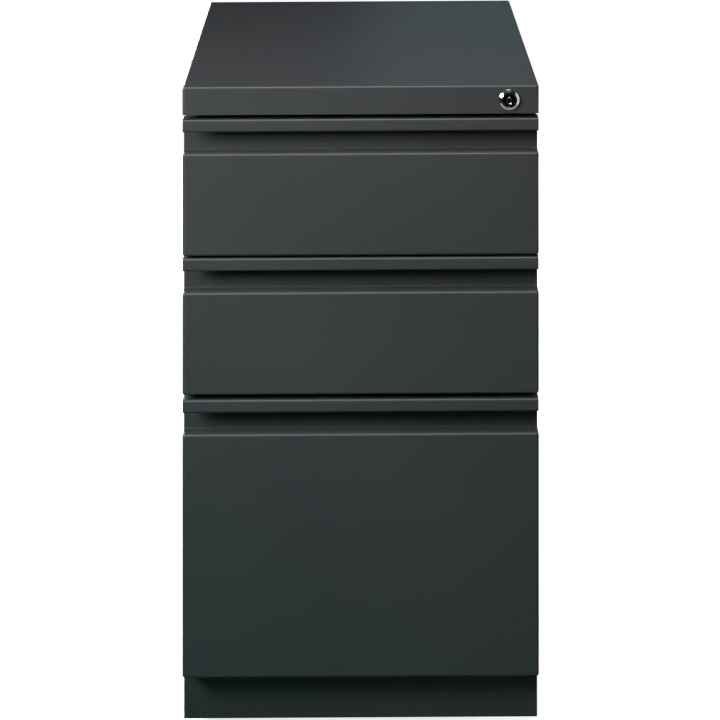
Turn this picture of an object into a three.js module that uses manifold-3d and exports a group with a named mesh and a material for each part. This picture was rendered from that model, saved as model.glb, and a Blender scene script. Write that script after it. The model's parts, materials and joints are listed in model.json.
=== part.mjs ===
// Three-drawer mobile pedestal cabinet: two box drawers over a file drawer in a folded steel case, with
// full-width pulls, ball-bearing slides, a cam lock with its lock bar, a kick plate that travels with the
// file drawer, four swivel casters behind it and a fifth, stabilising wheel under the file drawer.
// Millimetres, +Z up, drawer faces towards -Y, origin on the floor under the middle of the cabinet.
import * as THREE from "three";
import { mergeVertices } from "three/addons/utils/BufferGeometryUtils.js";
import Module from "manifold-3d";

const wasm = await Module();
wasm.setup();

// ---------------------------------------------------------------- driving dimensions
const WIDTH = 381; // 15 in
const DEPTH = 508; // drawer faces to back, 20 in
const HEIGHT = 705;
const SHEET = 0.9; // case and drawer sheet
const HEAVY = 1.2; // slides, uprights and base
const GAP = 0.3; // between pieces that touch
const BEND = 1.5; // middle radius of a bend
const EDGE = 2; // outer radius of a folded edge

const BEZEL_PROUD = 3;
const FRONT = -(DEPTH + BEZEL_PROUD) / 2 + BEZEL_PROUD; // y of the drawer faces
const BACK = FRONT + DEPTH;

const BAND = 30.2; // height of the top's folded sides
const REVEALS = { top: 4.9, box: 2.4, file: 5.3 }; // gap above each front
const BOX_FRONT = 146; // height of a box drawer's front
const SKIRT = 19; // floor to the lower edge of the case
const PAN_DEPTH = 22; // drawer front, face to rear edge
const LIP = 13.8; // height of the pull's lip
const LEDGE = 36.7; // lip top down to the ledge under the finger recess
const RECESS = 20; // face to the recess wall

const BOX_TRAVEL = 340; // of a box drawer

// Depth behind the drawer faces to y.
const at = (depth) => FRONT + depth;

// Heights worked out from the above.
const BAND_LOW = HEIGHT - BAND;
const UPPER_TOP = BAND_LOW - REVEALS.top;
const UPPER_LOW = UPPER_TOP - BOX_FRONT;
const LOWER_TOP = UPPER_LOW - REVEALS.box;
const LOWER_LOW = LOWER_TOP - BOX_FRONT;
const FILE_TOP = LOWER_LOW - REVEALS.file;
const FILE_LOW = 73.4;

// Case: outer face of the side panels, their front edge and the face of the back flanges.
const CASE_HALF = WIDTH / 2 - SHEET - GAP;
const CASE_FRONT = at(26);
const CASE_BACK = BACK - SHEET - GAP;
const CASE_TOP = HEIGHT - EDGE; // clear of the bend inside the top

// Across a side, from the middle outwards: tray, slide, upright.
const TRAY_HALF = 161;
const SLIDE_IN = TRAY_HALF + GAP;
const SLIDE_OUT = SLIDE_IN + 12.7;
const UPRIGHT_IN = SLIDE_OUT + GAP;
const SLIDE_LENGTH = 450;
const CASE_SLIDE_FRONT = at(28);
const DRAWER_SLIDE_FRONT = at(24);

// ---------------------------------------------------------------- shape helpers
const AXES = {
  x: [new THREE.Vector3(0, 1, 0), new THREE.Vector3(0, 0, 1), new THREE.Vector3(1, 0, 0)],
  y: [new THREE.Vector3(1, 0, 0), new THREE.Vector3(0, 0, 1), new THREE.Vector3(0, -1, 0)],
  z: [new THREE.Vector3(1, 0, 0), new THREE.Vector3(0, 1, 0), new THREE.Vector3(0, 0, 1)],
};

// A closed three.js geometry as a solid that can be joined and cut.
function solid(geometry) {
  geometry.deleteAttribute("normal");
  geometry.deleteAttribute("uv");
  const merged = mergeVertices(geometry, 1e-4);
  return new wasm.Manifold(
    new wasm.Mesh({
      numProp: 3,
      vertProperties: merged.attributes.position.array,
      triVerts: new Uint32Array(merged.index.array),
    }),
  );
}

function geometryOf(made) {
  const mesh = made.getMesh();
  return new THREE.BufferGeometry()
    .setAttribute("position", new THREE.BufferAttribute(mesh.vertProperties, 3))
    .setIndex(new THREE.BufferAttribute(mesh.triVerts, 1));
}

const join = (...solids) => solids.reduce((a, b) => a.add(b));

function box([x0, y0, z0], [x1, y1, z1]) {
  const geometry = new THREE.BoxGeometry(x1 - x0, y1 - y0, z1 - z0);
  return solid(geometry.translate((x0 + x1) / 2, (y0 + y1) / 2, (z0 + z1) / 2));
}

// An outline extruded along an axis. Its points are [y, z] along x, [x, z] along y and [x, y] along z.
function prism(points, axis, from, to) {
  const shape = new THREE.Shape(points.map(([u, v]) => new THREE.Vector2(u, v)));
  const geometry = new THREE.ExtrudeGeometry(shape, { depth: to - from, bevelEnabled: false });
  geometry.applyMatrix4(new THREE.Matrix4().makeBasis(...AXES[axis]));
  const start = { x: [from, 0, 0], y: [0, to, 0], z: [0, 0, from] }[axis];
  return solid(geometry.translate(...start));
}

// A profile of [radius, distance] turned about an axis through centre.
function turned(profile, axis, centre, segments = 24) {
  const geometry = new THREE.LatheGeometry(
    profile.map(([r, d]) => new THREE.Vector2(r, d)),
    segments,
    Math.PI / segments, // a flat, not a corner, faces down
  );
  if (axis === "x") geometry.rotateZ(-Math.PI / 2);
  if (axis === "z") geometry.rotateX(Math.PI / 2);
  return solid(geometry.translate(...centre));
}

// A round bar from "from" to "to" along an axis, about the point's other two coordinates.
function rod(radius, axis, [x, y, z], from, to, segments = 16) {
  const profile = [[0, from], [radius, from], [radius, to], [0, to]];
  const centre = { x: [0, y, z], y: [x, 0, z], z: [x, y, 0] }[axis];
  return turned(profile, axis, centre, segments);
}

function roundedRect(u0, u1, v0, v1, radius, steps = 3) {
  const corners = [[u1, v1, 0], [u0, v1, 1], [u0, v0, 2], [u1, v0, 3]];
  return corners.flatMap(([u, v, quarter]) => {
    const cu = u + (u === u1 ? -radius : radius);
    const cv = v + (v === v1 ? -radius : radius);
    return Array.from({ length: steps + 1 }, (_, i) => {
      const angle = ((quarter + i / steps) * Math.PI) / 2;
      return [cu + radius * Math.cos(angle), cv + radius * Math.sin(angle)];
    });
  });
}

function roundedBox([x0, y0, z0], [x1, y1, z1], radius) {
  return prism(roundedRect(y0, y1, z0, z1, radius), "x", x0, x1)
    .intersect(prism(roundedRect(x0, x1, z0, z1, radius), "y", y0, y1))
    .intersect(prism(roundedRect(x0, x1, y0, y1, radius), "z", z0, z1));
}

// A folded, rounded shell of sheet between two corners, open on one side such as "+y" or "-z".
function shell(low, high, open) {
  const axis = "xyz".indexOf(open[1]);
  const outwards = open[0] === "+" ? 1 : -1;
  const stretch = (corner, by) => corner.map((v, i) => (i === axis ? v + outwards * by : v));
  const isHigh = outwards > 0;
  const outer = roundedBox(isHigh ? low : stretch(low, 9), isHigh ? stretch(high, 9) : high, EDGE);
  const inner = roundedBox(
    (isHigh ? low : stretch(low, 19)).map((v) => v + SHEET),
    (isHigh ? stretch(high, 19) : high).map((v) => v - SHEET),
    EDGE - SHEET,
  );
  return outer.intersect(box(low, high)).subtract(inner);
}

// Outline of a bent sheet whose middle follows the path, with rounded bends.
function bent(path, thickness = SHEET, radius = BEND, steps = 3) {
  const left = [];
  const right = [];
  const put = (u, v, nu, nv) => {
    left.push([u + (nu * thickness) / 2, v + (nv * thickness) / 2]);
    right.push([u - (nu * thickness) / 2, v - (nv * thickness) / 2]);
  };
  const heading = (a, b) => {
    const length = Math.hypot(b[0] - a[0], b[1] - a[1]);
    return [(b[0] - a[0]) / length, (b[1] - a[1]) / length];
  };
  path.forEach((p, i) => {
    const before = i > 0 ? heading(path[i - 1], p) : null;
    const after = i < path.length - 1 ? heading(p, path[i + 1]) : null;
    if (!before || !after) {
      const [du, dv] = before || after;
      put(p[0], p[1], -dv, du);
      return;
    }
    const turn = Math.atan2(
      before[0] * after[1] - before[1] * after[0],
      before[0] * after[0] + before[1] * after[1],
    );
    const side = Math.sign(turn);
    const back = radius * Math.tan(Math.abs(turn) / 2);
    const centre = [
      p[0] - before[0] * back - before[1] * side * radius,
      p[1] - before[1] * back + before[0] * side * radius,
    ];
    for (let k = 0; k <= steps; k++) {
      const angle = (turn * k) / steps;
      const nu = -before[1] * Math.cos(angle) - before[0] * Math.sin(angle);
      const nv = before[0] * Math.cos(angle) - before[1] * Math.sin(angle);
      put(centre[0] - nu * side * radius, centre[1] - nv * side * radius, nu, nv);
    }
  });
  return [...left, ...right.reverse()];
}

const mirrored = (points) => points.map(([x, v]) => [-x, v]);

// ---------------------------------------------------------------- materials
const charcoal = { color: 0x3f4244, roughness: 0.55, metalness: 0.1 };
const zinc = { color: 0xb9bcbd, roughness: 0.35, metalness: 0.9 };
const chrome = { color: 0xd8d8d6, roughness: 0.12, metalness: 1 };
const darkSteel = { color: 0x55585a, roughness: 0.5, metalness: 0.7 };
const nylon = { color: 0x1b1c1d, roughness: 0.6, metalness: 0 };

const cabinet = new THREE.Group();

function add(name, made, look) {
  const mesh = new THREE.Mesh(geometryOf(made), new THREE.MeshStandardMaterial(look));
  mesh.name = name;
  cabinet.add(mesh);
}

const SIDES = [
  ["left", -1],
  ["right", 1],
];

// ---------------------------------------------------------------- lock position
const LOCK = { x: WIDTH / 2 - 31.8, z: HEIGHT - BAND / 2 - 0.3 };
const BARREL_RADIUS = 9.4;

// ---------------------------------------------------------------- case
function topPanel() {
  const cap = shell([-WIDTH / 2, FRONT, BAND_LOW], [WIDTH / 2, BACK, HEIGHT], "-z");
  const reach = WIDTH / 2 - 1;
  const frontReturn = box([-reach, FRONT + 0.5, BAND_LOW], [reach, at(12), BAND_LOW + SHEET]);
  const lockHole = rod(BARREL_RADIUS + GAP, "y", [LOCK.x, 0, LOCK.z], at(-5), at(5), 24);
  add("top_panel", join(cap, frontReturn).subtract(lockHole), charcoal);
}

// Side panel: web with a front return, a back return and a return along the lower edge.
function sidePanels() {
  const half = SHEET / 2;
  const webX = CASE_HALF - half;
  const plan = bent([
    [CASE_HALF - 12, CASE_FRONT + half],
    [webX, CASE_FRONT + half],
    [webX, CASE_BACK - half],
    [CASE_HALF - 17, CASE_BACK - half],
  ]);
  for (const [side, sign] of SIDES) {
    const web = prism(sign > 0 ? plan : mirrored(plan), "z", SKIRT, CASE_TOP);
    const edges = [CASE_HALF - 9, CASE_HALF - half].map((x) => x * sign).sort((a, b) => a - b);
    const hem = box([edges[0], CASE_FRONT + 4, SKIRT], [edges[1], CASE_BACK - 4, SKIRT + SHEET]);
    add(side + "_side_panel", join(web, hem), charcoal);
  }
}

function backPanel() {
  const y = CASE_BACK - SHEET - GAP - SHEET / 2;
  const section = bent([
    [y - 12, SKIRT + SHEET / 2],
    [y, SKIRT + SHEET / 2],
    [y, CASE_TOP - GAP - SHEET / 2],
    [y - 12, CASE_TOP - GAP - SHEET / 2],
  ]);
  const half = CASE_HALF - 10;
  add("back_panel", prism(section, "x", -half, half), charcoal);
}

// Base pan: carries the casters, with flanges turned up along both sides, the front and the back.
const BASE_LOW = 62;
const BASE_FLANGE = 12;
const BASE_HALF = CASE_HALF - SHEET - GAP;
const BASE_FRONT = at(30);
const BASE_BACK = CASE_BACK - 2 * SHEET - 2 * GAP;

function basePan() {
  const half = HEAVY / 2;
  const across = bent(
    [
      [-BASE_HALF + half, BASE_LOW + BASE_FLANGE],
      [-BASE_HALF + half, BASE_LOW + half],
      [BASE_HALF - half, BASE_LOW + half],
      [BASE_HALF - half, BASE_LOW + BASE_FLANGE],
    ],
    HEAVY,
  );
  const pan = prism(across, "y", BASE_FRONT, BASE_BACK);
  const flange = (y) =>
    box([-BASE_HALF + 3, y, BASE_LOW + half], [BASE_HALF - 3, y + HEAVY, BASE_LOW + BASE_FLANGE]);
  add("base_pan", join(pan, flange(BASE_FRONT), flange(BASE_BACK - HEAVY)), charcoal);
}

// Inverted channel that joins the sides behind the top's front band.
function topRail() {
  const [front, back] = [at(40.5), at(60)];
  const [low, high] = [BAND_LOW + 4, CASE_TOP - GAP - HEAVY / 2];
  const section = bent([[front, low], [front, high], [back, high], [back, low]], HEAVY);
  const half = CASE_HALF - SHEET - GAP;
  add("top_rail", prism(section, "x", -half, half), charcoal);
}

// Slotted channels that carry the case slides.
const UPRIGHT_WIDTH = 40;
const UPRIGHTS = [
  ["front", at(32.8)],
  ["rear", at(400)],
];

function uprights() {
  const half = HEAVY / 2;
  const wall = CASE_HALF - SHEET - GAP;
  const [low, high] = [BASE_LOW + BASE_FLANGE + 4, BAND_LOW - 4];
  for (const [place, y] of UPRIGHTS) {
    const plan = bent(
      [
        [wall, y + half],
        [UPRIGHT_IN + half, y + half],
        [UPRIGHT_IN + half, y + UPRIGHT_WIDTH - half],
        [wall, y + UPRIGHT_WIDTH - half],
      ],
      HEAVY,
    );
    for (const [side, sign] of SIDES) {
      let channel = prism(sign > 0 ? plan : mirrored(plan), "z", low, high);
      for (let z = low + 30; z < high - 30; z += 60) {
        const ends = [UPRIGHT_IN - 2, UPRIGHT_IN + 3].map((x) => x * sign).sort((a, b) => a - b);
        const middle = y + UPRIGHT_WIDTH / 2;
        channel = channel.subtract(box([ends[0], middle - 2, z], [ends[1], middle + 2, z + 14]));
      }
      add(place + "_" + side + "_upright", channel, zinc);
    }
  }
}

// ---------------------------------------------------------------- slides
// Cross-sections for the right side, [x, z] about the slide's middle height. The case member opens
// towards the drawer, the drawer member towards the case.
const BOX_SLIDE = 17.5; // half height of a two-member slide
const FILE_SLIDE = 22.5; // half height of a three-member slide
const DRAWER_MEMBER = 11; // half height of the drawer member

function caseSection(halfHeight) {
  const h = halfHeight - HEAVY / 2;
  const mouth = SLIDE_IN + 3.3;
  return [
    [mouth, -h + 3],
    [mouth, -h],
    [SLIDE_OUT - HEAVY / 2, -h],
    [SLIDE_OUT - HEAVY / 2, h],
    [mouth, h],
    [mouth, h - 3],
  ];
}

function middleSection() {
  const h = 17 - HEAVY / 2;
  const web = SLIDE_OUT - 3;
  return [
    [web - 5.4, -h + 3],
    [web - 5.4, -h],
    [web, -h],
    [web, h],
    [web - 5.4, h],
    [web - 5.4, h - 3],
  ];
}

function drawerSection() {
  const h = DRAWER_MEMBER - HEAVY / 2;
  const web = SLIDE_IN + HEAVY / 2;
  return [
    [web + 7, -h],
    [web, -h],
    [web, h],
    [web + 7, h],
  ];
}

function slideMember(name, path, sign, z, front, length) {
  const outline = bent(path, HEAVY, 1, 2).map(([x, v]) => [x * sign, v + z]);
  add(name, prism(outline, "y", front, front + length), zinc);
}

// Ball cage of a two-member slide: a strip with two legs and the balls they hold.
const CAGE_LENGTH = 96;
const BALL_RADIUS = 2.2;
const BALLS = 3; // on each edge

function ballCage(name, sign, z) {
  const web = SLIDE_OUT - HEAVY - 1.3;
  const leg = (BOX_SLIDE - HEAVY + DRAWER_MEMBER) / 2;
  const section = bent([[web - 5, -leg], [web, -leg], [web, leg], [web - 5, leg]], 0.8, 0.8, 2);
  const front = CASE_SLIDE_FRONT + BOX_TRAVEL / 2 + 7;
  let cage = prism(section.map(([x, v]) => [x * sign, v + z]), "y", front, front + CAGE_LENGTH);
  for (let i = 0; i < BALLS; i++) {
    for (const level of [-leg, leg]) {
      const ball = new THREE.SphereGeometry(BALL_RADIUS, 6, 4);
      const y = front + CAGE_LENGTH * ((i + 0.5) / BALLS);
      cage = cage.add(solid(ball.translate((web - 3.4) * sign, y, z + level)));
    }
  }
  add(name, cage, zinc);
}

// ---------------------------------------------------------------- drawers
// Front: a pan open at the rear, with the recess wall and the pull's hemmed lip above it.
function drawerFront(name, low, high) {
  const half = SHEET / 2;
  const ledge = high - LEDGE;
  const pan = shell([-WIDTH / 2, FRONT, low], [WIDTH / 2, at(PAN_DEPTH), ledge], "+y");
  const pull = bent([
    [at(4), high - 8],
    [at(4), high - LIP + half],
    [at(half), high - LIP + half],
    [at(half), high - half],
    [at(RECESS + half), high - half],
    [at(RECESS + half), ledge - half],
  ]);
  const reach = WIDTH / 2 - 0.4;
  add(name + "_front", join(pan, prism(pull, "x", -reach, reach)), charcoal);
}

// Tray: floor and sides folded from one sheet, a back, hemmed upper edges and a wide front plate.
const TRAY_FRONT = at(PAN_DEPTH + GAP);
const TRAY_BACK = at(473);

function tray(name, floor, top, plateLow, plateHigh) {
  const half = SHEET / 2;
  const x = TRAY_HALF - half;
  const wall = bent([[-x, top], [-x, floor + half], [x, floor + half], [x, top]]);
  const pieces = [
    prism(wall, "y", TRAY_FRONT + half, TRAY_BACK),
    box([-x, TRAY_BACK - SHEET, floor + half], [x, TRAY_BACK, top]),
    box([-WIDTH / 2 + 13, TRAY_FRONT, plateLow], [WIDTH / 2 - 13, TRAY_FRONT + SHEET, plateHigh]),
  ];
  for (const sign of [-1, 1]) {
    const ends = [x, TRAY_HALF + 1.8].map((v) => v * sign).sort((a, b) => a - b);
    pieces.push(box([ends[0], TRAY_FRONT + half, top - 7], [ends[1], TRAY_BACK, top]));
  }
  pieces.push(box([-x, TRAY_BACK - 2.7, top - 7], [x, TRAY_BACK, top]));
  add(name + "_tray", join(...pieces), charcoal);
}

// Heights above the lower edge of the drawer's face, and the half height of its slide.
const BOX_TRAY = { floor: 9, top: 122, slide: 45, halfHeight: BOX_SLIDE };
const FILE_TRAY = { floor: 11, top: 268, slide: 110, halfHeight: FILE_SLIDE };
const DRAWERS = [
  { name: "upper_box", low: UPPER_LOW, high: UPPER_TOP, ...BOX_TRAY },
  { name: "lower_box", low: LOWER_LOW, high: LOWER_TOP, ...BOX_TRAY },
  { name: "file", low: FILE_LOW, high: FILE_TOP, ...FILE_TRAY },
];

function drawers() {
  for (const { name, low, high, floor, top, slide, halfHeight } of DRAWERS) {
    drawerFront(name, low, high);
    tray(name, low + floor, low + top, low + 1.5, high - 2);
    for (const [side, sign] of SIDES) {
      const z = low + slide;
      const label = name + "_" + side;
      slideMember(label + "_case_slide", caseSection(halfHeight), sign, z, CASE_SLIDE_FRONT, SLIDE_LENGTH);
      slideMember(label + "_drawer_slide", drawerSection(), sign, z, DRAWER_SLIDE_FRONT, SLIDE_LENGTH);
      if (name === "file")
        slideMember(label + "_middle_slide", middleSection(), sign, z, CASE_SLIDE_FRONT, SLIDE_LENGTH);
      else ballCage(label + "_ball_cage", sign, z);
    }
  }
}

// Kick plate: hangs on the file drawer and hides the casters.
const KICK = TRAY_FRONT + SHEET + GAP;
const KICK_TOP = FILE_LOW + 8;

function kickPlate() {
  const half = SHEET / 2;
  const reach = WIDTH / 2 - 0.3;
  const plate = box([-reach, KICK, SKIRT], [reach, KICK + SHEET, KICK_TOP]);
  const section = bent([[KICK + half, SKIRT + 12], [KICK + half, SKIRT + half], [KICK + 11, SKIRT + half]]);
  add("kick_plate", join(plate, prism(section, "x", -172, 172)), charcoal);
}

// Stabilising wheel under the file drawer, held just clear of the floor.
const STABILISER = { y: at(72), z: 20, radius: 18, halfWidth: 9 };

function stabiliser() {
  const { y, z, radius, halfWidth } = STABILISER;
  const plateBack = KICK + SHEET + GAP + 2;
  const plate = box([-24, plateBack - 2, 24], [24, plateBack, 58]);
  const arm = [
    [plateBack - 1, 30],
    [y - 6, z - 7],
    [y + 7, z - 4],
    [y + 8, z + 6],
    [plateBack - 1, 56],
  ];
  const pinHole = rod(3.3, "x", [0, y, z], -40, 40, 12);
  const arms = [-1, 1].map((sign) => {
    const ends = [halfWidth + 1.5, halfWidth + 3.5].map((x) => x * sign).sort((a, b) => a - b);
    return prism(arm, "x", ends[0], ends[1]);
  });
  add("stabiliser_bracket", join(plate, ...arms).subtract(pinHole), darkSteel);
  wheel("stabiliser_wheel", [0, y, z], radius, halfWidth);
  axle("stabiliser_axle", [0, y, z], halfWidth + 3.5);
}

// ---------------------------------------------------------------- casters
const CASTER = { radius: 25, halfWidth: 10, trail: 18, x: 130, front: at(86), rear: BACK - 64 };
const PIN_RADIUS = 3;

// Wheel turning about x, with a crowned tread and recessed hub faces. Its flats touch the floor.
function wheel(name, centre, radius, halfWidth) {
  const segments = 24;
  const rim = radius / Math.cos(Math.PI / segments);
  const side = [
    [PIN_RADIUS + GAP, halfWidth - 0.5],
    [radius * 0.38, halfWidth - 0.5],
    [radius * 0.44, halfWidth - 3],
    [radius * 0.74, halfWidth - 3],
    [rim - 3, halfWidth - 0.4],
    [rim, halfWidth - 3],
  ];
  const other = side.map(([r, d]) => [r, -d]).reverse();
  add(name, turned([...side, ...other, side[0]].reverse(), "x", centre, segments), nylon);
}

// Headed pin through a wheel, reaching past both arms.
function axle(name, [x, y, z], reach) {
  const shaft = rod(PIN_RADIUS, "x", [x, y, z], x - reach - 1, x + reach + 1);
  const head = (from) => rod(5, "x", [x, y, z], from, from + 2, 12);
  add(name, join(shaft, head(x - reach - GAP - 2), head(x + reach + GAP)), zinc);
}

function caster(name, x, y) {
  const { radius, halfWidth, trail } = CASTER;
  const plateTop = BASE_LOW - GAP;
  const forkTop = plateTop - 2.5 - 4;
  const forkPlate = 2.2;
  // Mounting plate with its race, and the kingpin riveted under the fork.
  let plate = prism(roundedRect(x - 30, x + 30, y - 24, y + 24, 5, 2), "z", plateTop - 2.5, plateTop);
  for (const dx of [-23, 23]) {
    for (const dy of [-17, 17]) {
      plate = plate.subtract(rod(3, "z", [x + dx, y + dy, 0], plateTop - 6, plateTop + 3, 10));
    }
  }
  const race = rod(16, "z", [x, y, 0], forkTop + GAP, plateTop - 1, 20);
  const pin = rod(4, "z", [x, y, 0], forkTop - forkPlate - 3, plateTop - 1, 12);
  const pinHead = rod(7, "z", [x, y, 0], forkTop - forkPlate - 3, forkTop - forkPlate - GAP, 12);
  add(name + "_caster_plate", join(plate, race, pin, pinHead), zinc);
  // Fork: a top plate and two arms that reach back to the wheel's axle.
  const wheelY = y + trail;
  const arm = [
    [y - 15, forkTop],
    [y - 15, forkTop - 8],
    [wheelY - 8, radius - 3],
    [wheelY - 4, radius - 7],
    [wheelY + 4, radius - 7],
    [wheelY + 8, radius - 2],
    [wheelY + 10, forkTop],
  ];
  const inner = halfWidth + 1.5;
  const pieces = [box([x - inner - 2, y - 15, forkTop - forkPlate], [x + inner + 2, wheelY + 10, forkTop])];
  pieces.push(prism(arm, "x", x - inner - 2, x - inner), prism(arm, "x", x + inner, x + inner + 2));
  const hole = rod(4 + GAP, "z", [x, y, 0], 40, plateTop, 12);
  const axleHole = rod(PIN_RADIUS + GAP, "x", [0, wheelY, radius], x - 40, x + 40, 12);
  add(name + "_caster_fork", join(...pieces).subtract(hole).subtract(axleHole), darkSteel);
  wheel(name + "_caster_wheel", [x, wheelY, radius], radius, halfWidth);
  axle(name + "_caster_axle", [x, wheelY, radius], inner + 2);
}

function casters() {
  for (const place of ["front", "rear"]) {
    for (const [side, sign] of SIDES) {
      caster(place + "_" + side, CASTER.x * sign, CASTER[place]);
    }
  }
}

// ---------------------------------------------------------------- lock
const PLUG_RADIUS = 6.5;
const CRANK = 8; // cam centre to crank pin
const CRANK_PIN = 2;
const CAM_FRONT = at(27);

function lock() {
  const bore = PLUG_RADIUS + GAP;
  const housing = [
    [bore, at(-0.8)],
    [8.4, at(-2)],
    [9.4, at(-BEZEL_PROUD)],
    [10.5, at(-2.4)],
    [11.2, at(-1.2)],
    [11.2, at(-GAP)],
    [BARREL_RADIUS, at(-GAP)],
    [BARREL_RADIUS, at(26)],
    [bore, at(26)],
  ];
  const seat = [LOCK.x, 0, LOCK.z];
  add("lock_housing", turned([...housing, housing[0]], "y", seat, 32), chrome);

  const nut = rod(13, "y", seat, at(1.2), at(5), 6);
  add("lock_nut", nut.subtract(rod(BARREL_RADIUS + GAP, "y", seat, at(0), at(6), 24)), zinc);

  const plug = join(
    rod(PLUG_RADIUS, "y", seat, at(-1), at(26.4), 24),
    rod(3, "y", seat, at(26), at(29.7), 12),
  );
  const collar = roundedRect(LOCK.x - 2.8, LOCK.x + 2.8, LOCK.z - 4.3, LOCK.z + 4.3, 2.7, 4);
  const keyway = box([LOCK.x - 0.8, at(-4), LOCK.z - 3.4], [LOCK.x + 0.8, at(14), LOCK.z + 3.4]);
  add("lock_plug", join(plug, prism(collar, "y", at(-1.7), at(-0.5))).subtract(keyway), chrome);

  // Cam with its crank pin up and to the right, unlocked.
  const reach = CRANK * Math.SQRT1_2;
  const pinSeat = [LOCK.x + reach, 0, LOCK.z + reach];
  const arm = roundedRect(-5, CRANK + 4, -4, 4, 3, 2).map(([u, v]) => [
    LOCK.x + (u - v) * Math.SQRT1_2,
    LOCK.z + (u + v) * Math.SQRT1_2,
  ]);
  const cam = join(
    prism(arm, "y", CAM_FRONT, CAM_FRONT + 2),
    rod(CRANK_PIN, "y", pinSeat, CAM_FRONT + 1, CAM_FRONT + 7, 12),
  );
  add("lock_cam", cam.subtract(rod(3 + GAP, "y", seat, at(20), at(36), 12)), zinc);

  // Lock bar: a flat strip down the right side, with a slotted foot over the crank pin and three hooks.
  const [barIn, barOut] = [CASE_HALF - 12, CASE_HALF - 3.5];
  const barTop = pinSeat[2] + 5.5;
  const outline = [[barIn, 110]];
  for (const { low, slide, halfHeight } of [...DRAWERS].reverse()) {
    const hook = low + slide + halfHeight + 26;
    outline.push([barIn, hook], [TRAY_HALF + 4, hook], [TRAY_HALF + 4, hook + 8], [barIn, hook + 8]);
  }
  const foot = [
    [barIn, pinSeat[2] - 5.5],
    [LOCK.x, pinSeat[2] - 5.5],
    [LOCK.x, barTop],
    [barOut, barTop],
    [barOut, 110],
  ];
  const bar = prism([...outline, ...foot].reverse(), "y", at(31), at(32.5));
  const slotHalf = CRANK_PIN + 0.35;
  const slot = box(
    [pinSeat[0] - slotHalf - 0.3, at(30), pinSeat[2] - slotHalf],
    [LOCK.x + CRANK + slotHalf + 0.3, at(34), pinSeat[2] + slotHalf],
  );
  add("lock_bar", bar.subtract(slot), zinc);
}

// ---------------------------------------------------------------- assembly
topPanel();
sidePanels();
backPanel();
basePan();
topRail();
uprights();
drawers();
kickPlate();
stabiliser();
casters();
lock();

export default cabinet;
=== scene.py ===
"""Looks of a three-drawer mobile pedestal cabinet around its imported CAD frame. Blender 4.5, metres.

Shapes are drawn in millimetres, in the frame's own axes, and scaled as each piece is made.
"""
import json
import math

import bmesh
import bpy
from mathutils import Matrix, Vector


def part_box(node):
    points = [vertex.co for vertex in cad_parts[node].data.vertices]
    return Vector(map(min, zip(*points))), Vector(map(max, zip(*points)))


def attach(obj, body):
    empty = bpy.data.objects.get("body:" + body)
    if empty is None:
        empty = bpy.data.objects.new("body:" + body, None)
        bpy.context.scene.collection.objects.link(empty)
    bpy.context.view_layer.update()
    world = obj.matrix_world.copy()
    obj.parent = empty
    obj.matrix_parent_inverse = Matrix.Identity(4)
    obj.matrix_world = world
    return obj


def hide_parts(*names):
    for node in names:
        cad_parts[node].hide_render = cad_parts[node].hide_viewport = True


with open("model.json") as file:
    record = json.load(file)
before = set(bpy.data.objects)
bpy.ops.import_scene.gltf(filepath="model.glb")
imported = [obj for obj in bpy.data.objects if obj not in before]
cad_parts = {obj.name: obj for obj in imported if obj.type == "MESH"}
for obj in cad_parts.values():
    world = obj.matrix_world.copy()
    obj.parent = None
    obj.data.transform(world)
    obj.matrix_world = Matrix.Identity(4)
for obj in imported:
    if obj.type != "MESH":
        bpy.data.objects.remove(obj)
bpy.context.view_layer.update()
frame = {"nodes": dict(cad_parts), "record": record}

MM = 0.001

# ---------------------------------------------------------------- sheet sizes, millimetres
SHEET = 0.9  # case and drawer sheet
HEAVY = 1.2  # slide members
BEND = 2.1  # middle radius of a bend
TIGHT_BEND = 0.9  # middle radius of a tray's hem
SKIRT_BEND = 1.2  # middle radius of a side panel's bottom fold
EDGE = 2.8  # outer radius of a folded shell's edges
CUT = 0.22  # bevel of a cut edge
SINK = 0.02  # keeps a welded return just inside the sheet it lies on
FLUSH = 0.03  # keeps a welded sheet just over the one it lies in
ARC_STEPS = 8

# drawer fronts
LIP = 13.8  # height of the lip over the finger recess
LEDGE = 36.7  # from the lip's top down to the face
RECESS = 20.0  # depth of the finger recess behind the face
HEM = 5.0  # depth of the lip's folded lower edge
HEM_TOP = 8.0  # the hem's turned-up end, below the lip's top
FOOT_RETURN = 6.0  # the recess wall's foot, turned forward onto the face's shell
PULL_INSET = 0.4  # the pull stops short of the face's ends
PAN_DEPTH = 22.0


def low_high(node):
    """Corners of a CAD node's box in millimetres."""
    lo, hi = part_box(node)
    return lo / MM, hi / MM


FRONT = low_high("upper_box_front")[0].y
TOP_LOW, TOP_HIGH = low_high("top_panel")
HALF = TOP_HIGH.x


def at(depth):
    """y of a depth behind the drawer faces."""
    return FRONT + depth


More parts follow.
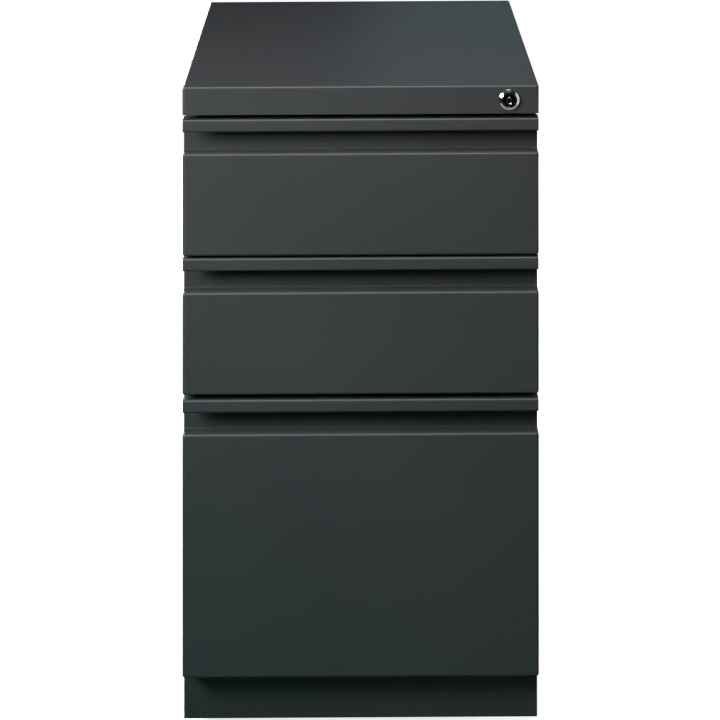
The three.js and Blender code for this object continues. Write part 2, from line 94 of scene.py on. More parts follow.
# ---------------------------------------------------------------- materials
class Nodes:
    """Builds a material's node tree around its Principled shader."""

    def __init__(self, name):
        self.material = bpy.data.materials.new(name)
        self.material.use_nodes = True
        self.tree = self.material.node_tree
        self.shader = self.tree.nodes["Principled BSDF"]
        self.position = self.add("ShaderNodeTexCoord").outputs["Object"]

    def add(self, kind, **settings):
        node = self.tree.nodes.new(kind)
        for key, value in settings.items():
            setattr(node, key, value)
        return node

    def link(self, output, socket):
        self.tree.links.new(output, socket)

    def drive(self, output, name):
        """Links an output to one of the Principled shader's inputs."""
        self.link(output, self.shader.inputs[name])

    def stretched(self, scale):
        node = self.add("ShaderNodeMapping")
        node.inputs["Scale"].default_value = scale
        self.link(self.position, node.inputs["Vector"])
        return node.outputs["Vector"]

    def noise(self, scale, detail=2.0, roughness=0.5, vector=None):
        node = self.add("ShaderNodeTexNoise")
        node.inputs["Scale"].default_value = scale
        node.inputs["Detail"].default_value = detail
        node.inputs["Roughness"].default_value = roughness
        self.link(vector or self.position, node.inputs["Vector"])
        return node.outputs["Fac"]

    def ranged(self, value, low, high, start=0.3, end=0.7):
        node = self.add("ShaderNodeMapRange")
        node.inputs["From Min"].default_value = start
        node.inputs["From Max"].default_value = end
        node.inputs["To Min"].default_value = low
        node.inputs["To Max"].default_value = high
        self.link(value, node.inputs["Value"])
        return node.outputs["Result"]

    def mixed(self, factor, first, second, mode="MIX"):
        node = self.add("ShaderNodeMix", data_type="RGBA", blend_type=mode)
        colours = [s for s in node.inputs if s.type == "RGBA"]
        for socket, value in zip(colours, (first, second)):
            if isinstance(value, (tuple, list)):
                socket.default_value = (*value, 1.0)
            else:
                self.link(value, socket)
        if isinstance(factor, float):
            node.inputs["Factor"].default_value = factor
        else:
            self.link(factor, node.inputs["Factor"])
        return next(s for s in node.outputs if s.type == "RGBA")

    def bump(self, height, strength, distance):
        node = self.add("ShaderNodeBump")
        node.inputs["Strength"].default_value = strength
        node.inputs["Distance"].default_value = distance
        self.link(height, node.inputs["Height"])
        self.drive(node.outputs["Normal"], "Normal")

    def set(self, **values):
        for key, value in values.items():
            self.shader.inputs[key.replace("_", " ")].default_value = value


def shaded(tint, share):
    return [c * share for c in tint]


def grey(value):
    return (value, value, value)


def powder_coat(name, dark, light, roughness=0.4):
    """Satin powder coat: orange peel, fine speckle and a slow drift of tone."""
    n = Nodes(name)
    drift = n.ranged(n.noise(5.0, 3.0), 0.0, 1.0)
    speckle = n.ranged(n.noise(2600.0, 1.0), 0.0, 1.0, 0.42, 0.62)
    tone = n.mixed(drift, dark, light)
    fleck = n.mixed(speckle, grey(0.86), grey(1.1))
    n.drive(n.mixed(1.0, tone, fleck, "MULTIPLY"), "Base Color")
    peel = n.noise(900.0, 2.0)
    n.drive(n.ranged(n.noise(60.0, 2.0), roughness - 0.005, roughness + 0.015), "Roughness")
    n.bump(peel, 0.22, 0.00008)
    n.set(Metallic=0.0, Specular_IOR_Level=0.42)
    return n.material


def zinc_plate(name, tint, roughness=0.34):
    """Bright zinc over rolled steel, with rolling streaks along y and cloudy tarnish."""
    n = Nodes(name)
    streak = n.noise(1.0, 3.0, 0.6, n.stretched((900.0, 14.0, 900.0)))
    cloud = n.noise(45.0, 4.0, 0.6)
    base = n.mixed(n.ranged(cloud, 0.0, 1.0), shaded(tint, 0.82), tint)
    lines = n.mixed(n.ranged(streak, 0.0, 1.0), grey(0.88), grey(1.06))
    n.drive(n.mixed(1.0, base, lines, "MULTIPLY"), "Base Color")
    n.drive(n.ranged(cloud, roughness - 0.06, roughness + 0.12), "Roughness")
    n.bump(streak, 0.12, 0.00003)
    n.set(Metallic=1.0)
    return n.material


def plated(name, tint, roughness):
    """Polished plate with faint wipe marks."""
    n = Nodes(name)
    wipe = n.noise(1.0, 3.0, 0.6, n.stretched((260.0, 900.0, 2200.0)))
    n.drive(n.mixed(n.ranged(wipe, 0.0, 1.0), shaded(tint, 0.94), tint), "Base Color")
    n.drive(n.ranged(wipe, roughness * 0.8, roughness * 1.5), "Roughness")
    n.set(Metallic=1.0)
    return n.material


def moulded(name, tint, roughness, grain=1400.0):
    """Moulded plastic or rubber with a fine grain."""
    n = Nodes(name)
    cloud = n.noise(30.0, 3.0)
    n.drive(n.mixed(n.ranged(cloud, 0.0, 1.0), shaded(tint, 0.8), shaded(tint, 1.25)), "Base Color")
    n.drive(n.ranged(cloud, roughness - 0.06, roughness + 0.06), "Roughness")
    n.bump(n.noise(grain, 2.0), 0.2, 0.00006)
    n.set(Metallic=0.0, Specular_IOR_Level=0.45)
    return n.material


LOOKS = {
    "powder_coat": powder_coat("charcoal_powder_coat", (0.036, 0.038, 0.041), (0.041, 0.043, 0.046)),
    "zinc_plate": zinc_plate("zinc_plate", (0.56, 0.575, 0.59)),
    "chrome_plate": plated("polished_chrome", (0.80, 0.79, 0.77), 0.09),
    "dark_steel": powder_coat("black_zinc", (0.02, 0.021, 0.023), (0.028, 0.029, 0.03), 0.38),
    "wheel_nylon": moulded("wheel_nylon", (0.014, 0.014, 0.015), 0.5),
}
# the plug's face is coloured near-black to stand for the dark room it mirrors: painted dark reflection
PLUG_PAINTED_REFLECTION_LOOK = plated("plug_face_painted_dark_reflection", (0.10, 0.10, 0.103), 0.16)
COLLAR_LOOK = plated("collar_nickel", (0.33, 0.325, 0.315), 0.14)
BALL_LOOK = plated("bearing_steel", (0.72, 0.73, 0.75), 0.12)


# ---------------------------------------------------------------- making pieces
def smooth(mesh, angle=35.0):
    mesh.shade_smooth()
    mesh.set_sharp_from_angle(angle=math.radians(angle))


def bevelled(obj, width, segments=2, angle=38.0):
    """Rounds an object's sharp edges and keeps its flats flat."""
    bevel = obj.modifiers.new("edges", "BEVEL")
    bevel.width = width * MM
    bevel.segments = segments
    bevel.limit_method = "ANGLE"
    bevel.angle_limit = math.radians(angle)
    bevel.use_clamp_overlap = True
    normals = obj.modifiers.new("flats", "WEIGHTED_NORMAL")
    normals.keep_sharp = True


def piece(name, bm, body, slot, replaces=(), look=None, cut=CUT):
    """Puts a bmesh in millimetres on a body as a finished piece."""
    bmesh.ops.remove_doubles(bm, verts=bm.verts, dist=1e-4)
    bmesh.ops.recalc_face_normals(bm, faces=bm.faces)
    bmesh.ops.scale(bm, vec=(MM, MM, MM), verts=bm.verts)
    mesh = bpy.data.meshes.new(name)
    bm.to_mesh(mesh)
    bm.free()
    smooth(mesh)
    obj = bpy.data.objects.new(name, mesh)
    bpy.context.scene.collection.objects.link(obj)
    mesh.materials.append(look or LOOKS[slot])
    if cut:
        bevelled(obj, cut)
    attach(obj, body)
    if replaces:
        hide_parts(*replaces)
    return obj


EXTRUDED = {
    "x": lambda u, v, w: (w, u, v),
    "y": lambda u, v, w: (u, w, v),
    "z": lambda u, v, w: (u, v, w),
}


def prism(bm, outline, axis, start, end):
    """Adds an outline extruded along an axis: (y, z) along x, (x, z) along y, (x, y) along z."""
    place = EXTRUDED[axis]
    first = [bm.verts.new(place(u, v, start)) for u, v in outline]
    last = [bm.verts.new(place(u, v, end)) for u, v in outline]
    bm.faces.new(first)
    bm.faces.new(last[::-1])
    count = len(outline)
    for i in range(count):
        j = (i + 1) % count
        bm.faces.new((first[i], last[i], last[j], first[j]))


def box(bm, low, high):
    outline = [(low[0], low[1]), (high[0], low[1]), (high[0], high[1]), (low[0], high[1])]
    prism(bm, outline, "z", low[2], high[2])


TURNED = {
    "x": lambda a, b, d: (d, a, b),
    "y": lambda a, b, d: (b, d, a),
    "z": lambda a, b, d: (a, b, d),
}


def turned(bm, profile, axis, centre, segments=64):
    """Adds a profile of (radius, distance) turned about an axis."""
    place = TURNED[axis]
    angles = [2 * math.pi * k / segments for k in range(segments)]
    rings = []
    for radius, distance in profile:
        if radius < 1e-6:
            circle = [(0.0, 0.0)]
        else:
            circle = [(radius * math.cos(angle), radius * math.sin(angle)) for angle in angles]
        ring = []
        for a, b in circle:
            x, y, z = place(a, b, distance)
            ring.append(bm.verts.new((x + centre[0], y + centre[1], z + centre[2])))
        rings.append(ring)
    for lower, upper in zip(rings, rings[1:]):
        for k in range(segments):
            n = (k + 1) % segments
            inner = (lower[k % len(lower)], lower[n % len(lower)])
            outer = (upper[n % len(upper)], upper[k % len(upper)])
            corners = list(dict.fromkeys(inner + outer))
            if len(corners) > 2:
                bm.faces.new(corners)


def rounded(profile, radius, steps=4):
    """Rounds the inner corners of an open profile."""
    out = [profile[0]]
    for before, corner, after in zip(profile, profile[1:], profile[2:]):
        a, b, c = (Vector(p) for p in (before, corner, after))
        reach = min(radius, (a - b).length * 0.45, (c - b).length * 0.45)
        p, q = b + (a - b).normalized() * reach, b + (c - b).normalized() * reach
        for k in range(steps + 1):
            t = k / steps
            out.append(tuple(p * (1 - t) ** 2 + b * 2 * t * (1 - t) + q * t * t))
    out.append(profile[-1])
    return out


def heading(a, b):
    """Unit direction from one point of a path to the next."""
    length = math.hypot(b[0] - a[0], b[1] - a[1])
    return (b[0] - a[0]) / length, (b[1] - a[1]) / length


def bent(path, thickness=SHEET, radius=BEND, steps=ARC_STEPS):
    """Outline of a bent sheet whose middle follows the path."""
    left, right = [], []

    def put(u, v, nu, nv):
        left.append((u + nu * thickness / 2, v + nv * thickness / 2))
        right.append((u - nu * thickness / 2, v - nv * thickness / 2))

    for i, p in enumerate(path):
        before = heading(path[i - 1], p) if i else None
        after = heading(p, path[i + 1]) if i < len(path) - 1 else None
        if not before or not after:
            du, dv = before or after
            put(p[0], p[1], -dv, du)
            continue
        cross = before[0] * after[1] - before[1] * after[0]
        along = before[0] * after[0] + before[1] * after[1]
        turn = math.atan2(cross, along)
        side = math.copysign(1, turn)
        back = radius * math.tan(abs(turn) / 2)
        cu = p[0] - before[0] * back - before[1] * side * radius
        cv = p[1] - before[1] * back + before[0] * side * radius
        for k in range(steps + 1):
            angle = turn * k / steps
            nu = -before[1] * math.cos(angle) - before[0] * math.sin(angle)
            nv = before[0] * math.cos(angle) - before[1] * math.sin(angle)
            put(cu - nu * side * radius, cv - nv * side * radius, nu, nv)
    return left + right[::-1]


def shell(bm, low, high, open_side):
    """Adds a folded shell of sheet with rounded edges and corners, open on one side such as "+y"."""
    made = bmesh.new()
    bmesh.ops.create_cube(made, size=1.0)
    size = [top - bottom for bottom, top in zip(low, high)]
    for v in made.verts:
        v.co = [bottom + (c + 0.5) * s for bottom, c, s in zip(low, v.co, size)]
    axis = "xyz".index(open_side[1])
    rim = (high if open_side[0] == "+" else low)[axis]
    lid = [f for f in made.faces if all(abs(v.co[axis] - rim) < 1e-6 for v in f.verts)]
    bmesh.ops.delete(made, geom=lid, context="FACES_ONLY")
    folds = [e for e in made.edges if len(e.link_faces) == 2]
    bmesh.ops.bevel(made, geom=folds, offset=EDGE, segments=ARC_STEPS, profile=0.5, affect="EDGES")
    bmesh.ops.recalc_face_normals(made, faces=made.faces)
    centre = Vector([(bottom + top) / 2 for bottom, top in zip(low, high)])
    biggest = max(made.faces, key=lambda f: f.calc_area())
    if biggest.normal.dot(biggest.calc_center_median() - centre) < 0:
        bmesh.ops.reverse_faces(made, faces=made.faces)
    bmesh.ops.solidify(made, geom=made.faces[:], thickness=SHEET)
    mesh = bpy.data.meshes.new("shell")
    made.to_mesh(mesh)
    made.free()
    bm.from_mesh(mesh)
    bpy.data.meshes.remove(mesh)


# ---------------------------------------------------------------- case
TOP_RETURN = 12.0  # the top's front band, turned back under it
TOP_RETURN_FLANGE = 9.0
TOP_RETURN_INSET = 1.5
FRONT_FLANGE = 12.0  # a side panel's folds, inwards
BACK_FLANGE = 17.0
SKIRT_FLANGE = 9.0
SKIRT_RISE = 6.0
SKIRT_INSET = 4.0


def top_panel():
    bm = bmesh.new()
    shell(bm, TOP_LOW, TOP_HIGH, "-z")
    y = at(SHEET / 2)
    z = TOP_LOW.z + SHEET / 2
    front = bent([(y, z + TOP_RETURN_FLANGE), (y + SINK, z), (at(TOP_RETURN), z)], SHEET, BEND)
    prism(bm, front, "x", -HALF + TOP_RETURN_INSET, HALF - TOP_RETURN_INSET)
    piece("top_panel_sheet", bm, "case", "powder_coat", ["top_panel"])


def side_panels():
    half = SHEET / 2
    for side, sign in (("left", -1), ("right", 1)):
        node = side + "_side_panel"
        low, high = low_high(node)
        outer = max(abs(low.x), abs(high.x))
        web = outer - half
        plan = bent([(outer - FRONT_FLANGE, low.y + half), (web, low.y + half),
                     (web, high.y - half), (outer - BACK_FLANGE, high.y - half)])
        bm = bmesh.new()
        prism(bm, [(x * sign, y) for x, y in plan], "z", low.z, high.z)
        section = bent([(outer - SKIRT_FLANGE, low.z + half), (web - SINK, low.z + half),
                        (web - SINK, low.z + SKIRT_RISE)], SHEET, SKIRT_BEND)
        prism(bm, [(x * sign, z) for x, z in section], "y", low.y + SKIRT_INSET, high.y - SKIRT_INSET)
        piece(node + "_sheet", bm, "case", "powder_coat", [node])


def kick_plate():
    low, high = low_high("kick_plate")
    y = low.y + SHEET / 2
    bm = bmesh.new()
    section = bent([(y, high.z), (y, low.z + SHEET / 2), (high.y, low.z + SHEET / 2)])
    prism(bm, section, "x", low.x, high.x)
    piece("kick_plate_sheet", bm, "file_drawer", "powder_coat", ["kick_plate"])


# ---------------------------------------------------------------- drawers
DRAWERS = {"upper_box": "upper_drawer", "lower_box": "lower_drawer", "file": "file_drawer"}
TRAY_LEVELS = {"upper_box": (9, 122), "lower_box": (9, 122), "file": (11, 268)}  # above the front's foot
TRAY_WALL = 161.0  # outer face of a tray's side wall, from the middle
TRAY_HEM = 1.9  # width of the hem on a tray's walls
TRAY_HEM_DROP = 7.0
TRAY_BACK_HEM = 2.7
TRAY_BACK_FOOT = 1.5
TRAY_BACK_INSET = 1.2


def drawer_front(name, body):
    """Pan, recess wall and hemmed lip of one front."""
    low, high = low_high(name + "_front")
    half = SHEET / 2
    top = high.z
    ledge = top - LEDGE
    bm = bmesh.new()
    shell(bm, (low.x, low.y, low.z), (high.x, at(PAN_DEPTH), ledge), "+y")
    piece(name + "_pan", bm, body, "powder_coat", [name + "_front"])
    foot = ledge - half + FLUSH
    lip_foot = top - LIP + half
    wall = at(RECESS + half)
    path = [(at(HEM), top - HEM_TOP), (at(HEM), lip_foot), (at(half), lip_foot), (at(half), top - half),
            (wall, top - half), (wall, foot), (at(RECESS - FOOT_RETURN), foot)]
    bm = bmesh.new()
    prism(bm, bent(path), "x", low.x + PULL_INSET, high.x - PULL_INSET)
    piece(name + "_pull", bm, body, "powder_coat")


def tray(name, body):
    """Floor and walls in one bent sheet, a hemmed back and the plate behind the front."""
    low, high = low_high(name + "_tray")
    half = SHEET / 2
    plate = high.x
    wall = TRAY_WALL - half
    front_foot = low_high(name + "_front")[0].z
    floor, top = (front_foot + level for level in TRAY_LEVELS[name])
    back = high.y
    rim = top - half
    hem_low = top - TRAY_HEM_DROP
    bm = bmesh.new()
    path = [(-wall - TRAY_HEM, hem_low), (-wall - TRAY_HEM, rim), (-wall, rim), (-wall, floor + half),
            (wall, floor + half), (wall, rim), (wall + TRAY_HEM, rim), (wall + TRAY_HEM, hem_low)]
    prism(bm, bent(path, SHEET, TIGHT_BEND), "y", low.y + half, back)
    piece(name + "_tray_wrap", bm, body, "powder_coat", [name + "_tray"])
    bm = bmesh.new()
    path = [(back - TRAY_BACK_HEM, hem_low), (back - TRAY_BACK_HEM, rim), (back - half, rim),
            (back - half, floor + TRAY_BACK_FOOT)]
    prism(bm, bent(path, SHEET, TIGHT_BEND), "x", -wall + TRAY_BACK_INSET, wall - TRAY_BACK_INSET)
    piece(name + "_tray_back", bm, body, "powder_coat")
    bm = bmesh.new()
    box(bm, (-plate, low.y, low.z), (plate, low.y + SHEET, high.z))
    piece(name + "_tray_front", bm, body, "powder_coat")


# ---------------------------------------------------------------- fasteners and bearings
RIVET_ROWS = 6
RIVET_ACROSS = 176
RIVET_FOOT = 34  # lowest rivet above the panel's foot
RIVET_SPAN_LOSS = 90  # what the row leaves free of the panel's height
SCREW_INSET = 7  # a caster's screws, from its plate's edges
CASTER_PLATE = 2.5
BALLS_PER_CAGE = 9
BALL = 2.2
SLIDE_FACE = 161.3 + HEAVY  # inner face of a drawer's slide member, from the middle


def dome(bm, axis, centre, radius, height, sign=1, segments=20):
    """Adds a low domed head that stands off a face along an axis."""
    profile = [(0.0, height * sign)]
    for k in range(1, 6):
        angle = math.pi / 2 * (1 - k / 5)
        profile.append((radius * math.cos(angle), height * math.sin(angle) * sign))
    profile.append((radius, -0.4 * sign))
    profile.append((0.0, -0.4 * sign))
    turned(bm, profile, axis, centre, segments)


def ball(bm, centre, radius):
    made = bmesh.ops.create_uvsphere(bm, u_segments=16, v_segments=10, radius=radius)
    bmesh.ops.translate(bm, vec=centre, verts=made["verts"])


def case_rivets():
    """Rivets through the side panels' back returns."""
    low, high = low_high("left_side_panel")
    bm = bmesh.new()
    for sign in (-1, 1):
        for k in range(RIVET_ROWS):
            z = low.z + RIVET_FOOT + (high.z - low.z - RIVET_SPAN_LOSS) * k / (RIVET_ROWS - 1)
            dome(bm, "y", (sign * RIVET_ACROSS, high.y, z), 2.6, 0.9)
    piece("back_rivets", bm, "case", "zinc_plate", look=LOOKS["powder_coat"], cut=0)


def caster_screws():
    """Hexagon screws with washers under the caster plates."""
    hexagon = [(0, -3.6), (4.0, -3.6), (4.6, -3.0), (4.6, 0.0), (0, 0.0)]
    washer = [(0, -0.9), (5.8, -0.9), (6.0, -0.6), (6.0, 0.1), (0, 0.1)]
    bm = bmesh.new()
    for place in ("front", "rear"):
        for side in ("left", "right"):
            low, high = low_high(f"{place}_{side}_caster_plate")
            for x in (low.x + SCREW_INSET, high.x - SCREW_INSET):
                for y in (low.y + SCREW_INSET, high.y - SCREW_INSET):
                    spot = (x, y, high.z - CASTER_PLATE)
                    turned(bm, hexagon, "z", spot, 6)
                    turned(bm, washer, "z", spot, 24)
    piece("caster_screws", bm, "case", "zinc_plate", cut=0.15)


def slide_balls():
    """Bearing balls held by the box drawers' cages."""
    for name, body in (("upper_box", "upper_cages"), ("lower_box", "lower_cages")):
        for side, sign in (("left", -1), ("right", 1)):
            node = f"{name}_{side}_ball_cage"
            low, high = low_high(node)
            middle = (low.z + high.z) / 2
            leg = (high.z - low.z) / 2 - BALL
            web = max(abs(low.x), abs(high.x)) - 0.4
            bm = bmesh.new()
            for k in range(BALLS_PER_CAGE):
                y = low.y + (high.y - low.y) * (k + 0.5) / BALLS_PER_CAGE
                for level in (-leg, leg):
                    ball(bm, ((web - 3.4) * sign, y, middle + level), BALL)
            piece(node + "_balls", bm, body, "zinc_plate", look=BALL_LOOK, cut=0)


def slide_screws():
    """Pan-head screws that hold the drawer members to the trays, seen when a drawer is out."""
    for name, body in DRAWERS.items():
        bm = bmesh.new()
        for side, sign in (("left", -1), ("right", 1)):
            low, high = low_high(f"{name}_{side}_drawer_slide")
            for share in (0.08, 0.5, 0.9):
                y = low.y + (high.y - low.y) * share
                dome(bm, "x", (sign * SLIDE_FACE, y, (low.z + high.z) / 2), 3.4, 1.5, sign)
        piece(name + "_slide_screws", bm, body, "zinc_plate", cut=0)


# ---------------------------------------------------------------- lock
LOCK_STEPS = 64
BORE = 6.8  # radius of the hole for the plug
RIM = 11.2  # outer radius of the bezel
BARREL = 9.4  # outer radius behind the band
BARREL_END = 26
CREST = -3.0  # the bezel's flat front
PLUG = 6.5
KEYWAY_DROP = 1.1  # the keyway sits below the middle of the plug


def oval(half_width, half_height):
    """Points round an ellipse."""
    turns = [2 * math.pi * k / LOCK_STEPS for k in range(LOCK_STEPS)]
    return [(half_width * math.cos(a), half_height * math.sin(a)) for a in turns]


def slot(half_width, half_height, rise=0.0):
    """Points round an upright slot with round ends."""
    straight = half_height - half_width
    return [(u, rise + v + math.copysign(straight, v) * min(1.0, abs(v) / (half_width * 0.35)))
            for u, v in oval(half_width, half_width)]


def layered(bm, x, z, layers, close):
    """Joins outlines given as (points, depth); closes them into a loop or caps both ends."""
    rings = [[bm.verts.new((x + u, at(depth), z + v)) for u, v in points] for points, depth in layers]
    pairs = list(zip(rings, rings[1:]))
    if close:
        pairs.append((rings[-1], rings[0]))
    else:
        bm.faces.new(rings[0])
        bm.faces.new(rings[-1][::-1])
    for first, second in pairs:
        for k in range(LOCK_STEPS):
            n = (k + 1) % LOCK_STEPS
            bm.faces.new((first[k], first[n], second[n], second[k]))


def bezel(x, z):
    """Chrome ring with a flat crest and a conical flank; the extra points keep the flank's shading even."""
    lip = at(-2.4)
    edge = at(-0.3)
    crest = [(BORE, lip), (BORE, at(CREST)), (8.3, at(CREST))]
    cone = [(8.8, at(-2.64)), (10.3, at(-1.56)), (10.8, at(-1.2))]
    flank = rounded(crest + cone + [(RIM, at(-0.5)), (RIM, edge)], 0.05, 6)
    profile = flank + [(BARREL, edge), (BARREL, at(BARREL_END)), (BORE, at(BARREL_END)), (BORE, lip)]
    bm = bmesh.new()
    turned(bm, profile, "y", (x, 0, z), 96)
    return piece("lock_bezel", bm, "case", "chrome_plate", ["lock_housing"], cut=0)


def plug(x, z):
    """Plug with its keyway; its face is coloured near-black, a painted dark reflection."""
    keyway = slot(1.0, 2.9, -KEYWAY_DROP)
    layers = [(oval(PLUG, PLUG), 26.4), (oval(PLUG, PLUG), -2.1), (oval(6.3, 6.3), -2.3),
              (keyway, -2.3), (keyway, 7.0)]
    bm = bmesh.new()
    layered(bm, x, z, layers, False)
    piece("lock_plug_body", bm, "lock_core", "chrome_plate", ["lock_plug"], look=PLUG_PAINTED_REFLECTION_LOOK, cut=0)


def collar(x, z):
    """Raised collar round the keyway."""
    outside = [(oval(2.9, 4.2), -2.25), (oval(2.9, 4.2), -2.6), (oval(2.6, 3.9), -2.9),
               (oval(2.2, 3.5), -2.95)]
    inside = [(slot(1.7, 3.2), -2.85), (slot(0.8, 2.7), -2.4), (slot(0.8, 2.7), -2.25)]
    bm = bmesh.new()
    layered(bm, x, z - KEYWAY_DROP, outside + inside, True)
    piece("lock_collar", bm, "lock_core", "chrome_plate", look=COLLAR_LOOK, cut=0)


def lock():
    """Makes the lock's face and returns its ring."""
    low, high = low_high("lock_housing")
    x, z = (low.x + high.x) / 2, (low.z + high.z) / 2
    ring = bezel(x, z)
    plug(x, z)
    collar(x, z)
    return ring


# ---------------------------------------------------------------- casters
WHEEL_BORE = 3.3
WHEEL_DISH = 3.2  # depth of the dish between hub and tyre
TREAD_CROWN = 2.6


def wheel(node, body):
    """Nylon wheel with a crowned tread, a groove round its middle, dished sides and a hub boss."""
    low, high = low_high(node)
    centre = (low + high) / 2
    radius = (high.z - low.z) / 2
    half = (high.x - low.x) / 2
    dish = half - WHEEL_DISH
    hub = [(WHEEL_BORE, half), (radius * 0.3, half), (radius * 0.38, half - 0.6), (radius * 0.4, dish)]
    wall = [(radius * 0.7, dish), (radius * 0.74, half - 0.9), (radius * 0.8, half), (radius - 2.2, half)]
    tread = [(radius, half - TREAD_CROWN), (radius, half * 0.35), (radius - 0.5, half * 0.28)]
    side = hub + wall + tread
    other = [(r, -d) for r, d in reversed(side)]
    profile = rounded(side + other, 0.7, 3)
    bm = bmesh.new()
    turned(bm, profile + [profile[0]], "x", centre, 72)
    piece(node + "_tyre", bm, body, "wheel_nylon", [node], cut=0)


# ---------------------------------------------------------------- CAD nodes kept as they are
def dress_cad():
    """Gives each CAD node its material, clean shading and softened edges."""
    slots = {s["node"]: s["material_slot"] for s in frame["record"]["subparts"]}
    for name, obj in frame["nodes"].items():
        mesh = obj.data
        mesh.materials.clear()
        mesh.materials.append(LOOKS[slots[name]])
        if "custom_normal" in mesh.attributes:
            mesh.attributes.remove(mesh.attributes["custom_normal"])
        weld = obj.modifiers.new("weld", "WELD")
        weld.merge_threshold = 0.00001
        mesh.shade_smooth()
        bevelled(obj, 0.25)


dress_cad()
top_panel()
side_panels()
kick_plate()
for drawer, drawer_body in DRAWERS.items():
    drawer_front(drawer, drawer_body)
    tray(drawer, drawer_body)
case_rivets()
caster_screws()
slide_balls()
slide_screws()
lock_ring = lock()
for place in ("front", "rear"):
    for side in ("left", "right"):
        wheel(f"{place}_{side}_caster_wheel", f"{place}_{side}_caster_wheel")
wheel("stabiliser_wheel", "stabiliser_wheel")


# ---------------------------------------------------------------- camera
# A view camera: the lens looks down on the cabinet while the picture plane stays upright and parallel
# to the drawer faces, so the uprights stay parallel in the picture.
CAMERA_DISTANCE = 2.614  # lens to the drawer faces
CAMERA_HEIGHT = 1.264
CAMERA_ACROSS = -0.005
AIM = Vector((-0.0007, FRONT * MM, 0.4126))  # the picture's middle on the drawer faces
PICTURE_WIDTH = 0.7687  # what the picture spans at the drawer faces
HORIZON_TILT = math.radians(0.33)


def make_camera():
    data = bpy.data.cameras.new("camera")
    camera = bpy.data.objects.new("camera", data)
    stand = bpy.data.objects.new("camera_stand", None)
    for obj in (camera, stand):
        bpy.context.scene.collection.objects.link(obj)
    lens = Vector((CAMERA_ACROSS, AIM.y - CAMERA_DISTANCE, CAMERA_HEIGHT))
    back = (lens - AIM).normalized()
    across = Vector((math.cos(HORIZON_TILT), 0.0, -math.sin(HORIZON_TILT)))
    plane = Matrix((across, (0.0, 0.0, 1.0), back)).transposed()
    camera.parent = stand
    camera.matrix_parent_inverse = Matrix.Translation(lens) @ plane.to_4x4()
    data.sensor_width = 36.0
    data.lens = data.sensor_width * (lens - AIM).length / PICTURE_WIDTH
    data.clip_end = 100.0
    bpy.context.scene.camera = camera


make_camera()


# ---------------------------------------------------------------- floor and world
# The camera sees both as white. What they throw onto the cabinet is held down, as black flags do.
FLOOR_LIFT = 0.8  # the floor's own glow near the cabinet
FLOOR_FADE = (0.7, 2.2)  # distances between which it rises to full white, metres
FLOOR_BOUNCE = (0.08, 0.13, 0.12)
FLOOR_RADIUS = 7000.0
WORLD_FILL = 0.02
WHITE = (1, 1, 1, 1)


def make_floor():
    bm = bmesh.new()
    turned(bm, [(0.0, 0.0), (1500.0, 0.0), (FLOOR_RADIUS, 0.0)], "z", (0, 0, -0.05), 96)
    bmesh.ops.scale(bm, vec=(MM, MM, MM), verts=bm.verts)
    mesh = bpy.data.meshes.new("floor")
    bm.to_mesh(mesh)
    bm.free()
    floor = bpy.data.objects.new("floor", mesh)
    bpy.context.scene.collection.objects.link(floor)
    mesh.materials.append(floor_paper())


def floor_paper():
    n = Nodes("floor_paper")
    n.drive(n.mixed(n.ranged(n.noise(3.0), 0.0, 1.0), grey(0.9), grey(0.92)), "Base Color")
    n.set(Roughness=0.9, Specular_IOR_Level=0.1, Emission_Color=WHITE)
    reach = n.add("ShaderNodeVectorMath", operation="LENGTH")
    n.link(n.position, reach.inputs[0])
    n.drive(n.ranged(reach.outputs["Value"], FLOOR_LIFT, 1.0, *FLOOR_FADE), "Emission Strength")
    dark = n.add("ShaderNodeBsdfDiffuse")
    dark.inputs["Color"].default_value = (*FLOOR_BOUNCE, 1)
    mix = n.add("ShaderNodeMixShader")
    path = n.add("ShaderNodeLightPath")
    n.link(path.outputs["Is Camera Ray"], mix.inputs["Fac"])
    n.link(dark.outputs["BSDF"], mix.inputs[1])
    n.link(n.shader.outputs["BSDF"], mix.inputs[2])
    output = next(node for node in n.tree.nodes if node.type == "OUTPUT_MATERIAL")
    n.link(mix.outputs["Shader"], output.inputs["Surface"])
    return n.material


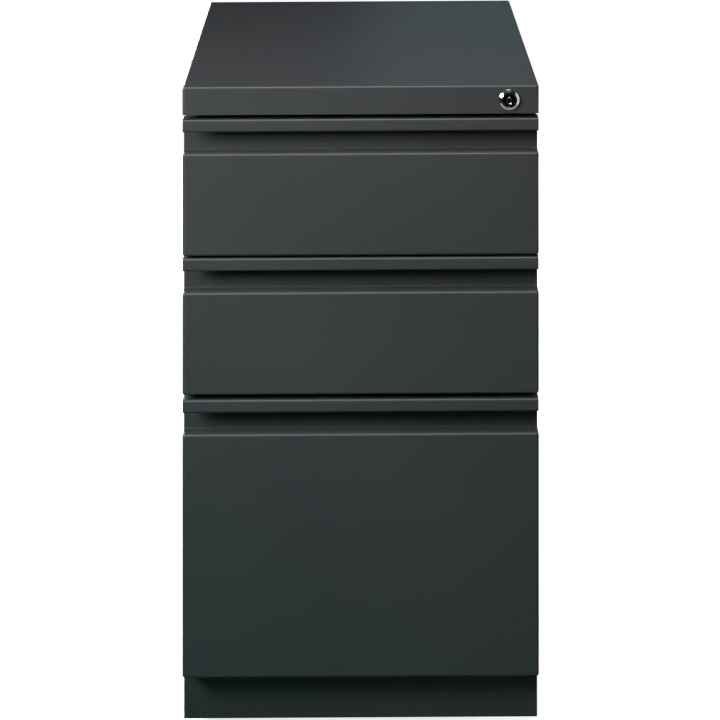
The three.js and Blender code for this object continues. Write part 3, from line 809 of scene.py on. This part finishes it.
def make_world():
    world = bpy.data.worlds.new("studio")
    bpy.context.scene.world = world
    world.use_nodes = True
    tree = world.node_tree
    tree.nodes.clear()
    output = tree.nodes.new("ShaderNodeOutputWorld")
    mix = tree.nodes.new("ShaderNodeMixShader")
    path = tree.nodes.new("ShaderNodeLightPath")
    fill = tree.nodes.new("ShaderNodeBackground")
    fill.inputs["Color"].default_value = (0.9, 1.0, 1.0, 1)
    fill.inputs["Strength"].default_value = WORLD_FILL
    seen = tree.nodes.new("ShaderNodeBackground")
    seen.inputs["Color"].default_value = WHITE
    seen.inputs["Strength"].default_value = 1.0
    tree.links.new(path.outputs["Is Camera Ray"], mix.inputs["Fac"])
    tree.links.new(fill.outputs["Background"], mix.inputs[1])
    tree.links.new(seen.outputs["Background"], mix.inputs[2])
    tree.links.new(mix.outputs["Shader"], output.inputs["Surface"])


make_floor()
make_world()


# ---------------------------------------------------------------- lights
def softbox(name, place, aim, size, power, colour=(1.0, 1.0, 1.0), spread=180):
    """Adds a rectangular light that faces a point; a small spread is a grid on its front."""
    data = bpy.data.lights.new(name, "AREA")
    data.shape = "RECTANGLE"
    data.size, data.size_y = size
    data.energy = power
    data.color = colour
    data.spread = math.radians(spread)
    lamp = bpy.data.objects.new(name, data)
    bpy.context.scene.collection.objects.link(lamp)
    lamp.location = place
    lamp.rotation_euler = (Vector(aim) - Vector(place)).to_track_quat("-Z", "Y").to_euler()
    return lamp


def light_only(lamp, obj):
    """Links a light to a single object."""
    receivers = bpy.data.collections.new(lamp.name + "_receivers")
    receivers.objects.link(obj)
    lamp.light_linking.receiver_collection = receivers


KEY = (-1.2, -1.0, 1.2)
softbox("key", KEY, (-0.13, -0.25, 0.63), (0.65, 0.65), 9.5, (0.7, 1.0, 0.92), 80)
softbox("key_high", KEY, (-0.08, -0.25, 0.8), (0.5, 0.5), 1.5, (1.0, 0.3, 0.27), 50)
softbox("over_top", (0.0, -0.74, 2.15), (0.0, -0.25, 0.5), (1.0, 0.4), 21.0, (0.96, 0.9, 1.0))
softbox("side_strip", (0.95, -0.5, 1.0), (0.0, -0.27, 0.9), (0.3, 2.0), 1.4, (1.0, 0.91, 0.82))
softbox("rear_card", (0.45, 1.6, 1.0), (0.1, 0.0, 0.7), (0.9, 0.4), 0.4, (0.6, 1.0, 1.0))
softbox("rear_fill", (-0.6, 2.3, 0.4), (0.0, 0.25, 0.35), (1.2, 0.5), 40.0)
softbox("right_fill", (1.9, 0.45, 0.38), (0.19, 0.0, 0.35), (1.0, 0.5), 17.0)
# a pale card on the floor, mirrored in the lower half of the lock's ring
foot_card = softbox("foot_card", (0.1, -0.45, 0.004), (0.1, -0.45, 1.0), (2.0, 0.4), 0.68, (1.0, 0.7, 0.6))
light_only(foot_card, lock_ring)
bpy.context.scene.view_settings.view_transform = "Standard"
